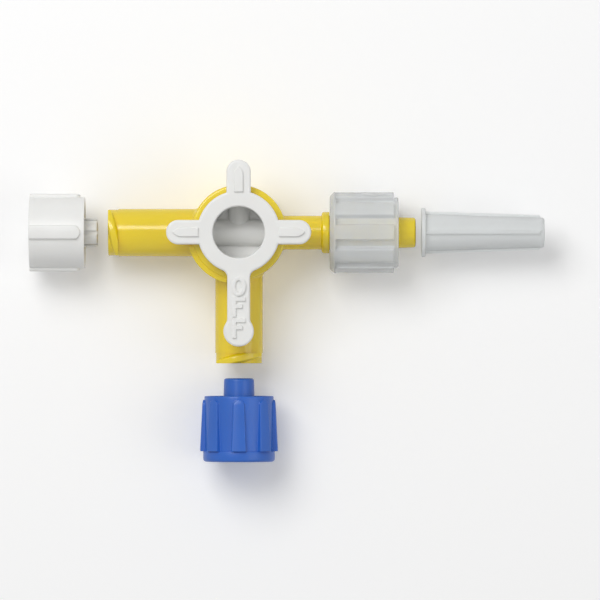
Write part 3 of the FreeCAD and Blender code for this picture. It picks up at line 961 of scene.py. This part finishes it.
@dataclass
class Handle(Moulding):
    """The four-arm lever and the hollow valve core, one moulding."""

    node: str = "handle"
    body: str = "handle"
    slot: Slot = Slot.HANDLE
    taper: CoreTaper = CoreTaper()
    foot_gap: float = 0.35
    bead_rise: float = 0.25
    bead_top: float = 1.44
    bead_height: float = 0.8
    running_gap: float = 0.035
    well_radius: float = 3.4
    well_round: float = 0.25
    well_skim: float = 0.01
    web: float = 1.0
    through_radius: float = 1.75
    branch_radius: float = 1.42
    through_lumen: float = 1.05
    branch_lumen: float = 0.95
    thickness: float = 2.3
    edge_round: float = 0.3
    disc_radius: float = 5.45
    short_half: float = 1.6
    short_reach: float = 9.55
    long_half: float = 1.5
    long_reach: float = 15.05
    bulb_radius: float = 2.0
    long_fillet: float = 1.0
    bulb_fillet: float = 0.8
    ridge_half: float = 0.6
    ridge_height: float = 0.35
    ridge_start: float = 5.3
    ridge_reach: float = 8.75
    ridge_point: float = 1.15
    ridge_blunt: float = 0.94
    sunk: float = 0.1
    end_steps: int = 24
    fillet_steps: int = 8
    neck_steps: int = 5
    bulb_steps: int = 36
    disc_steps: int = 16
    letter_rise: float = 0.34
    letter_width: float = 1.9
    letter_height: float = 2.6
    letter_stroke: float = 0.52
    letter_round: float = 0.07
    letter_places: tuple[float, ...] = (-7.1, -9.85, -12.65)
    f_inset: tuple[float, float] = (0.1, 0.05)
    f_gap: float = 0.42
    f_short: float = 0.4

    @property
    def top(self) -> float:
        """The height of the lever's face, under its raised marks."""
        return self.places.boxes[self.node][1].z - self.ridge_height

    @property
    def letter_depth(self) -> float:
        """How deep the letters are, with the part that is sunk in the lever."""
        return self.letter_rise + self.sunk

    def short_arm(self) -> list[Vector]:
        """A short arm's outline along +X, from the disc out and back."""
        root = math.sqrt(self.disc_radius**2 - self.short_half**2)
        end = arc((self.short_reach - self.short_half, 0), self.short_half, -90, 90, self.end_steps)
        return [Vector((root, -self.short_half)), *end, Vector((root, self.short_half))]

    def long_arm(self) -> list[Vector]:
        """The long arm's outline along +X, with its fillets and its bulb."""
        half = self.long_half
        beside = half + self.long_fillet
        along = math.sqrt((self.disc_radius + self.long_fillet) ** 2 - beside**2)
        turn = math.degrees(math.atan2(beside, along))
        bulb_x = self.long_reach - self.bulb_radius
        neck = half + self.bulb_fillet
        neck_x = bulb_x - math.sqrt((self.bulb_radius + self.bulb_fillet) ** 2 - neck**2)
        lean = math.degrees(math.atan2(neck, bulb_x - neck_x))
        below = arc((along, -beside), self.long_fillet, 180 - turn, 90, self.fillet_steps)
        below += arc((neck_x, -neck), self.bulb_fillet, 90, lean, self.neck_steps)
        bulb = arc((bulb_x, 0), self.bulb_radius, lean - 180, 180 - lean, self.bulb_steps)
        return below + bulb[1:-1] + mirrored(below)

    def outline(self) -> list[Vector]:
        """The lever's outline, anticlockwise, with an arm each quarter turn."""
        points: list[Vector] = []
        for quarter in range(4):
            arm = self.long_arm() if quarter == 3 else self.short_arm()
            placed = wheeled(arm, quarter / 4)
            if points:
                points += self.disc_between(points[-1], placed[0])
            points += placed
        return points + self.disc_between(points[-1], points[0])

    def disc_between(self, last: Vector, following: Vector) -> list[Vector]:
        """Points on the disc's rim between two arms."""
        start = math.atan2(last.y, last.x)
        end = math.atan2(following.y, following.x)
        if end < start:
            end += math.tau
        return [polar(self.disc_radius, angle) for angle in spread(start, end, self.disc_steps)[1:-1]]

    def plate(self) -> Mesh:
        """The lever's plate with its edges rounded, the top edge the most."""
        foot = self.top - self.thickness
        plate = prism(self.outline(), foot, self.top)
        bevelled(plate, edges_at(plate, self.top), self.edge_round, ROUND_STEPS)
        return bevelled(plate, edges_at(plate, foot), FINE_EDGE, 2)

    def ridge(self, degrees: float) -> Mesh:
        """The raised mark on a short arm, square inside and pointed outside."""
        half, point = self.ridge_half, self.ridge_point
        shoulder = self.ridge_reach - point
        shares = spread(0, self.ridge_blunt, self.fillet_steps)
        nose = [Vector((shoulder + point * share, half * (share**2 - 1))) for share in shares]
        side = [Vector((self.ridge_start, -half)), *nose]
        high = self.top + self.ridge_height
        mark = prism(side + mirrored(side), self.top - self.sunk, high)
        return about_z(bevelled(mark, edges_at(mark, high), PLAIN_EDGE), degrees)

    def letter_o(self) -> Mesh:
        """A raised O, upright about the origin."""
        mesh = bmesh.new()
        rings = []
        for inset in (0.0, self.letter_stroke):
            ring = bmesh.ops.create_circle(mesh, segments=AROUND_LUMEN, radius=1.0)["verts"]
            across = self.letter_width / 2 - inset
            tall = self.letter_height / 2 - inset
            bmesh.ops.scale(mesh, vec=(across, tall, 1.0), verts=ring)
            rings += {edge for vert in ring for edge in vert.link_edges}
        bmesh.ops.bridge_loops(mesh, edges=rings)
        return raised(mesh, self.letter_depth)

    def letter_f(self) -> Mesh:
        """A raised F, upright about the origin."""
        left, right = self.f_inset[0] - self.letter_width / 2, self.letter_width / 2 - self.f_inset[1]
        low, high = -self.letter_height / 2, self.letter_height / 2
        stroke = self.letter_stroke
        middle = high - stroke - self.f_gap
        short = right - self.f_short
        corners = [
            (left, low),
            (left + stroke, low),
            (left + stroke, middle - stroke),
            (short, middle - stroke),
            (short, middle),
            (left + stroke, middle),
            (left + stroke, high - stroke),
            (right, high - stroke),
            (right, high),
            (left, high),
        ]
        return prism([Vector(corner) for corner in corners], 0.0, self.letter_depth)

    def lettering(self) -> list[Mesh]:
        """The word OFF in raised letters, stacked down the long arm."""
        letters = [self.letter_o(), self.letter_f(), self.letter_f()]
        for letter, along in zip(letters, self.letter_places):
            bevelled(letter, edges_at(letter, self.letter_depth), self.letter_round, 2)
            moved(letter, Matrix.Translation((0.0, along, self.top - self.sunk)))
        return letters

    def core(self) -> Mesh:
        """The valve core's outside, with the snap bead at its foot."""
        hub_top = self.places.hub_height
        bead = self.taper.at(self.bead_top - hub_top) + self.bead_rise
        return turned(
            Corner(self.taper.at(self.foot_gap - hub_top) - self.running_gap, self.foot_gap, THIN_EDGE),
            Corner(bead, self.bead_top - self.bead_height, FINE_EDGE),
            Corner(bead, self.bead_top, CRISP_EDGE),
            Corner(self.taper.at(self.bead_top - hub_top), self.bead_top),
            Corner(self.taper.radius, hub_top),
            Corner(self.taper.radius, self.top - CLEAR),
        )

    def wells(self) -> list[Mesh]:
        """What is cut from above and below, leaving the web between."""
        floor = self.places.port_height
        face = self.top + self.well_skim
        beside = self.well_radius + self.well_round + FINE_EDGE
        upper = turned(
            Corner(self.well_radius, floor, SOFT_EDGE),
            Corner(self.well_radius, face, self.well_round),
            Corner(beside, face),
            Corner(beside, self.top + CLEAR),
        )
        radius = self.well_radius
        lower = turned(Corner(radius, -CLEAR), Corner(radius, floor - self.web, SOFT_EDGE))
        return [upper, lower]

    def duct(self, radius: float, low: float, high: float, arm: Arm, steps: int = AROUND_LUMEN) -> Mesh:
        """A straight round bar from one place along an arm to another, for a duct or its lumen."""
        return moved(rod(radius, low, high, steps), arm.matrix(self.places.port_height))

    def solid(self) -> Mesh:
        """Lever, core, wells and ducts, in the part's own frame."""
        inner = (self.well_radius + self.taper.radius) / 2
        reach = 2 * self.taper.radius
        tubes = [
            self.duct(self.through_radius, -inner, inner, Arm.MALE, AROUND_DUCT),
            self.duct(self.branch_radius, -inner, 0.0, Arm.SIDE, AROUND_DUCT),
        ]
        lumens = [
            self.duct(self.through_lumen, -reach, reach, Arm.MALE),
            self.duct(self.branch_lumen, -reach, 0.0, Arm.SIDE),
        ]
        marks = [self.ridge(angle) for angle in (0.0, 90.0, 180.0)]
        hollowed = cut_by(united([self.plate(), self.core()]), self.wells())
        ducted = cut_by(united([hollowed, *tubes]), lumens)
        return united([ducted, *marks, *self.lettering()])


@dataclass(frozen=True)
class ThreadedCavity:
    """A cavity with the two-start thread that draws a fitting on, in mm."""

    radius: float = 4.05
    floor_round: float = 0.25
    thread: Helix = Helix(4.15, 3.5, 1.25, 0.55, 5.0)
    rim_margin: float = 0.9
    floor_margin: float = 0.7

    def hollow(self, rim_at: float, floor_at: float) -> Mesh:
        """What is cut from a cap, from its rim to its floor along Z."""
        mouth = self.radius + PLAIN_EDGE
        return turned(
            Corner(mouth, rim_at - CLEAR),
            Corner(mouth, rim_at),
            Corner(self.radius, rim_at + PLAIN_EDGE),
            Corner(self.radius, floor_at, self.floor_round),
        )

    def ridges(self, low: float, high: float, seat: float) -> list[Mesh]:
        """Both ridges, wound between two heights.

        Args:
            low: where their middles start along Z.
            high: where their middles end.
            seat: a height that one ridge has on the +X side.

        Returns:
            The two ridges.
        """
        sweep = (high - low) / self.thread.lead * 360
        centre = (low + high) / 2
        made = []
        for start in (0.0, 180.0):
            middle = (centre - seat) / self.thread.lead * 360 + start
            made.append(self.thread.ridge(centre, middle, sweep))
        return made

    def ridges_in_cap(self, rim_at: float, floor_at: float, lug_at: float) -> list[Mesh]:
        """Both ridges of a cap, which pass beside its port's lugs when it is seated."""
        seat = lug_at + self.thread.lead / 4
        return self.ridges(rim_at + self.rim_margin, floor_at - self.floor_margin, seat)


@dataclass
class LockCollar(Moulding):
    """The ribbed collar that spins on the male arm."""

    node: str = "lock_collar"
    body: str = "lock_collar"
    slot: Slot = Slot.COLLAR
    arm: Arm = Arm.MALE
    cavity: ThreadedCavity = ThreadedCavity()
    back_wall: float = 1.2
    bore_radius: float = 2.285
    wall_radius: float = 4.65
    rib_radius: float = 5.4
    rib_width: float = 2.0
    flange: float = 0.8
    flange_chamfer: float = 0.6
    lip: float = 0.6
    lip_round: float = 0.2
    thread_margin: float = 1.0
    grip: Grip = Grip(count=10, crest_round=0.2, root_round=0.15, gap_steps=4)

    def solid(self) -> Mesh:
        """The collar along +Z."""
        start, end = self.span()
        flange_end, floor = start + self.flange, start + self.back_wall
        rib = Section(flange_end - PLAIN_EDGE, self.wall_radius, self.rib_radius, self.rib_width)
        stop = rib_stop(replace(rib, height=end - self.lip), SOFT_EDGE)
        edge = rounded_end(replace(rib, height=end, crest=self.wall_radius), self.lip_round)
        outside = self.grip.loft([rib, *stop, *edge])
        flange = turned(
            Corner(self.rib_radius - self.flange_chamfer, start, PLAIN_EDGE),
            Corner(self.rib_radius, start + self.flange_chamfer, THIN_EDGE),
            Corner(self.rib_radius, flange_end, CRISP_EDGE),
        )
        mouth = self.cavity.radius + SOFT_EDGE
        hollow = turned(
            Corner(self.cavity.radius, floor, self.cavity.floor_round),
            Corner(self.cavity.radius, end - SOFT_EDGE),
            Corner(mouth, end),
            Corner(mouth, end + CLEAR),
        )
        journal = rod(self.bore_radius, start - CLEAR, end, AROUND_ARM)
        whole = cut_by(united([flange, outside]), [hollow, journal])
        low, high = floor + self.thread_margin, end - self.cavity.rim_margin
        return united([whole, *self.cavity.ridges(low, high, low)])


@dataclass(frozen=True)
class Plug:
    """A cap's sealing plug: a taper, a straight root and a blind bore, in mm."""

    tip_radius: float
    taper_length: float = 6.0
    slope: float = 0.03
    tip_round: float = 0.3
    root_round: float = 0.25
    root_depth: float = 0.3
    bore_radius: float = 0.95
    bore_round: float = 0.3
    bore_floor: float = 1.0

    def solid(self, tip_at: float, floor_at: float) -> Mesh:
        """The plug from its tip to its root in the cap's inner floor, which is further out."""
        root = self.tip_radius + self.taper_length * self.slope
        return turned(
            Corner(root, floor_at + self.root_depth),
            Corner(root, floor_at, self.root_round),
            Corner(root, tip_at + self.taper_length),
            Corner(self.tip_radius, tip_at, self.tip_round),
            Corner(self.bore_radius, tip_at, FINE_EDGE),
            Corner(self.bore_radius, floor_at - self.bore_floor, self.bore_round),
            steps=AROUND_ARM,
        )


@dataclass
class Cap(Moulding):
    """A screw cap: a ribbed outside, a threaded cavity and a sealing plug."""

    cavity: ThreadedCavity = ThreadedCavity()
    plug: Plug = Plug(1.98)
    plug_reach: float = 2.35
    floor: float = 1.4
    wall_radius: float = 4.55
    rib_start: float = 0.5
    rib_nose: float = 0.65

    def near_end(self, rim_at: float, crest: float, width: float) -> list[Section]:
        """The cross-sections from the rim to where the ribs, of some crest and width, are full."""
        rim = Section(rim_at, self.wall_radius, self.wall_radius, width * NOSE_WIDTH)
        rib = Section(rim_at + self.rib_start, self.wall_radius, crest, width)
        return [*rounded_start(rim, PLAIN_EDGE), *nose_sections(rib, self.rib_nose)]

    def outside(self, rim_at: float, end: float) -> Mesh:
        """The ribbed outside along +Z, before the cavity is cut."""
        raise NotImplementedError

    def sealing_plug(self, tip_at: float, floor_at: float) -> Mesh:
        """The plug along +Z."""
        return self.plug.solid(tip_at, floor_at)

    def solid(self) -> Mesh:
        """The cap along +Z, its plug towards the hub."""
        tip_at, end = self.span()
        rim_at, floor_at = tip_at + self.plug_reach, end - self.floor
        lug_at = self.places.port_reach - Body.lug_zone / 2 + self.places.travels[self.body]
        shell = cut_by(self.outside(rim_at, end), [self.cavity.hollow(rim_at, floor_at)])
        plug = self.sealing_plug(tip_at, floor_at)
        return united([shell, plug, *self.cavity.ridges_in_cap(rim_at, floor_at, lug_at)])


@dataclass
class VentedCap(Cap):
    """The four-ribbed cap whose grooved plug lets a socket breathe."""

    node: str = "vented_cap"
    body: str = "vented_cap"
    slot: Slot = Slot.VENTED_CAP
    arm: Arm = Arm.INLET
    plug: Plug = Plug(1.88)
    plug_reach: float = 1.7
    floor: float = 1.2
    wall_radius: float = 4.7
    rib_radius: float = 5.15
    rib_width: float = 1.75
    rib_start: float = 0.6
    groove_width: float = 0.5
    groove_depth: float = 0.3
    groove_count: int = 6
    grip: Grip = Grip(count=4, crest_round=0.18, root_round=0.12, gap_steps=16, crest_steps=4)

    def outside(self, rim_at: float, end: float) -> Mesh:
        """Four ribs that run on to the closed end."""
        far = Section(end, self.wall_radius, self.rib_radius, self.rib_width)
        near = self.near_end(rim_at, self.rib_radius, self.rib_width)
        return self.grip.loft([*near, *rounded_end(far, SOFT_EDGE)])

    def sealing_plug(self, tip_at: float, floor_at: float) -> Mesh:
        """The plug along +Z, with grooves down its outside."""
        low, high = self.plug.tip_radius - self.groove_depth, self.plug.tip_radius + CLEAR
        half = self.groove_width / 2
        outline = [Vector(point) for point in ((low, -half), (high, -half), (high, half), (low, half))]
        grooves = []
        for index in range(self.groove_count):
            groove = prism(outline, tip_at - CLEAR, floor_at)
            grooves.append(about_z(groove, index * 360 / self.groove_count))
        return cut_by(super().sealing_plug(tip_at, floor_at), grooves)


@dataclass
class PortCap(Cap):
    """The blue cap with eight widening ribs and a band at its base."""

    node: str = "port_cap"
    body: str = "port_cap"
    slot: Slot = Slot.PORT_CAP
    arm: Arm = Arm.SIDE
    band_radius: float = 4.75
    band_height: float = 1.4
    band_round: float = 0.4
    rim_rib_radius: float = 4.875
    band_rib_radius: float = 5.175
    rim_rib_width: float = 1.5
    band_rib_width: float = 1.95
    grip: Grip = Grip(count=8, crest_round=0.15, root_round=0.1, gap_steps=6)

    def outside(self, rim_at: float, end: float) -> Mesh:
        """Eight ribs that widen down to the band."""
        band_at = end - self.band_height
        rib_end = Section(band_at, self.wall_radius, self.band_rib_radius, self.band_rib_width)
        inside = replace(rib_end, height=end - self.band_round, crest=self.wall_radius)
        near = self.near_end(rim_at, self.rim_rib_radius, self.rim_rib_width)
        ribbed = self.grip.loft([*near, *rib_stop(rib_end, FINE_EDGE), inside])
        radius = self.band_radius
        band = turned(Corner(radius, band_at, THIN_EDGE), Corner(radius, end, self.band_round))
        return united([band, ribbed])


@dataclass
class TipSleeve(Moulding):
    """The long ribbed cover that slips over the male tip."""

    node: str = "tip_sleeve"
    body: str = "tip_sleeve"
    slot: Slot = Slot.SLEEVE
    arm: Arm = Arm.MALE
    flange_radius: float = 3.25
    flange: float = 0.55
    mouth_outer: float = 2.45
    end_outer: float = 1.95
    end_round: float = 0.3
    end_wall: float = 0.6
    mouth_radius: float = 2.15
    seat_depth: float = 6.0
    seat_slope: float = 0.03
    seat_step: float = 0.4
    end_bore: float = 1.5
    bore_round: float = 0.3
    rib_width: float = 0.45
    rib_rise: float = 0.35
    rib_end_gap: float = 0.5
    rib_run_out: tuple[tuple[float, float], ...] = ((0.15, 1.0), (0.04, 0.7), (0.0, 0.0))
    grip: Grip = Grip(count=4, crest_round=0.08, root_round=0.06, gap_steps=14)

    def section(self, height: float, rise: float) -> Section:
        """The sleeve's cross-section at a height, with a rib of some rise."""
        start, end = self.span()
        taper_start = start + self.flange
        share = (height - taper_start) / (end - taper_start)
        wall = self.mouth_outer + (self.end_outer - self.mouth_outer) * share
        return Section(height, wall, wall + rise, self.rib_width)

    def solid(self) -> Mesh:
        """The sleeve along +Z."""
        start, end = self.span()
        rib_end = end - self.rib_end_gap
        sections = [self.section(start + self.flange / 2, self.rib_rise)]
        sections += [self.section(rib_end - back, self.rib_rise * share) for back, share in self.rib_run_out]
        outside = self.grip.loft([*sections, *rounded_end(self.section(end, 0.0), self.end_round)])
        flange = turned(
            Corner(self.flange_radius, start, PLAIN_EDGE),
            Corner(self.flange_radius, start + self.flange, PLAIN_EDGE),
            steps=AROUND_ARM,
        )
        mouth, seat_end = self.mouth_radius + SOFT_EDGE, start + self.seat_depth
        bore = turned(
            Corner(mouth, start - CLEAR),
            Corner(mouth, start),
            Corner(self.mouth_radius, start + SOFT_EDGE),
            Corner(self.mouth_radius - self.seat_depth * self.seat_slope, seat_end, FINE_EDGE),
            Corner(self.end_bore, seat_end + self.seat_step, FINE_EDGE),
            Corner(self.end_bore, end - self.end_wall, self.bore_round),
            steps=AROUND_ARM,
        )
        return cut_by(united([flange, outside]), [bore])


@dataclass(frozen=True)
class Lamp:
    """A square soft lamp that points at the valve: its power in watts, the rest in mm."""

    name: str
    power: float
    size: float
    place: tuple[float, float, float]

    def build(self) -> None:
        """Puts the lamp in the scene."""
        data = bpy.data.lights.new(self.name, "AREA")
        data.energy = self.power
        data.size = self.size * MM
        lamp = bpy.data.objects.new(self.name, data)
        lamp.location = Vector(self.place) * MM
        lamp.rotation_euler = (-lamp.location).to_track_quat("-Z", "Y").to_euler()
        bpy.context.scene.collection.objects.link(lamp)


@dataclass(frozen=True)
class Studio:
    """A pale floor, soft light and the drawing's camera, in mm."""

    floor_size: float = 1200.0
    floor_colour: tuple[float, float, float, float] = (0.94, 0.94, 0.94, 1.0)
    floor_lift: float = 0.12
    floor_roughness: float = 0.9
    floor_gloss: float = 0.1
    lens: float = 500.0
    camera_x: float = 8.08
    camera_y: float = -8.93
    camera_rise: float = 1104.0
    clip: tuple[float, float] = (10.0, 10000.0)
    ambient: float = 0.4
    lamps: tuple[Lamp, ...] = (
        Lamp("key", 0.82, 230.0, (-125.0, 165.0, 340.0)),
        Lamp("fill", 0.16, 220.0, (260.0, -60.0, 260.0)),
    )

    def floor(self) -> None:
        """The floor that the valve's foot stands on."""
        mesh = bmesh.new()
        bmesh.ops.create_grid(mesh, x_segments=1, y_segments=1, size=self.floor_size * MM / 2)
        floor = as_object("floor", mesh)
        floor.data.materials.append(self.floor_material())

    def floor_material(self) -> bpy.types.Material:
        """A matt pale floor, a little brighter to the camera and clear from below."""
        material, wiring = new_material("floor")
        nodes = material.node_tree.nodes
        rays = wiring.add("ShaderNodeLightPath").outputs
        sources = {
            "Base Color": self.floor_colour,
            "Roughness": self.floor_roughness,
            "Specular IOR Level": self.floor_gloss,
            "Emission Color": WHITE,
            "Emission Strength": wiring.math("MULTIPLY", rays["Is Camera Ray"], self.floor_lift),
        }
        shader = wiring.feed(nodes["Principled BSDF"], sources)
        behind = wiring.add("ShaderNodeNewGeometry").outputs["Backfacing"]
        clear = wiring.add("ShaderNodeBsdfTransparent").outputs["BSDF"]
        sides = wiring.add("ShaderNodeMixShader", {0: behind, 1: shader.outputs["BSDF"], 2: clear})
        wiring.feed(nodes["Material Output"], {"Surface": sides.outputs["Shader"]})
        return material

    def world(self) -> None:
        """A soft even sky that looks white wherever it is seen or reflected."""
        world = bpy.data.worlds.new("studio")
        world.use_nodes = True
        wiring = Wiring(world.node_tree)
        rays = wiring.add("ShaderNodeLightPath").outputs
        seen = rays["Is Camera Ray"]
        for ray in ("Is Glossy Ray", "Is Transmission Ray"):
            seen = wiring.math("MAXIMUM", seen, rays[ray])
        strength = wiring.add("ShaderNodeMapRange", {"Value": seen, "To Min": self.ambient, "To Max": 1.0})
        sources = {"Color": WHITE, "Strength": strength.outputs["Result"]}
        wiring.feed(world.node_tree.nodes["Background"], sources)
        bpy.context.scene.world = world

    def camera(self, port_height: float) -> None:
        """The drawing's view, straight down with +Y up."""
        data = bpy.data.cameras.new("camera")
        data.lens = self.lens
        data.clip_start, data.clip_end = (limit * MM for limit in self.clip)
        camera = bpy.data.objects.new("camera", data)
        camera.location = Vector((self.camera_x, self.camera_y, port_height + self.camera_rise)) * MM
        bpy.context.scene.collection.objects.link(camera)
        bpy.context.scene.camera = camera

    def build(self, port_height: float) -> None:
        """Sets the whole studio up."""
        self.floor()
        self.world()
        for lamp in self.lamps:
            lamp.build()
        self.camera(port_height)
        bpy.context.scene.view_settings.view_transform = "Standard"


def main() -> None:
    """Builds the six pieces and the studio."""
    logging.basicConfig(level=logging.INFO, format="%(name)s: %(message)s")
    places = Places.from_frame()
    skin = Skin()
    materials = {plastic.slot: plastic.material(skin) for plastic in PLASTICS}
    makers: tuple[Callable[..., Moulding], ...] = (Body, Handle, LockCollar, VentedCap, PortCap, TipSleeve)
    for maker in makers:
        maker(places, materials).build()
    Studio().build(places.port_height)


if __name__ == "__main__":
    main()
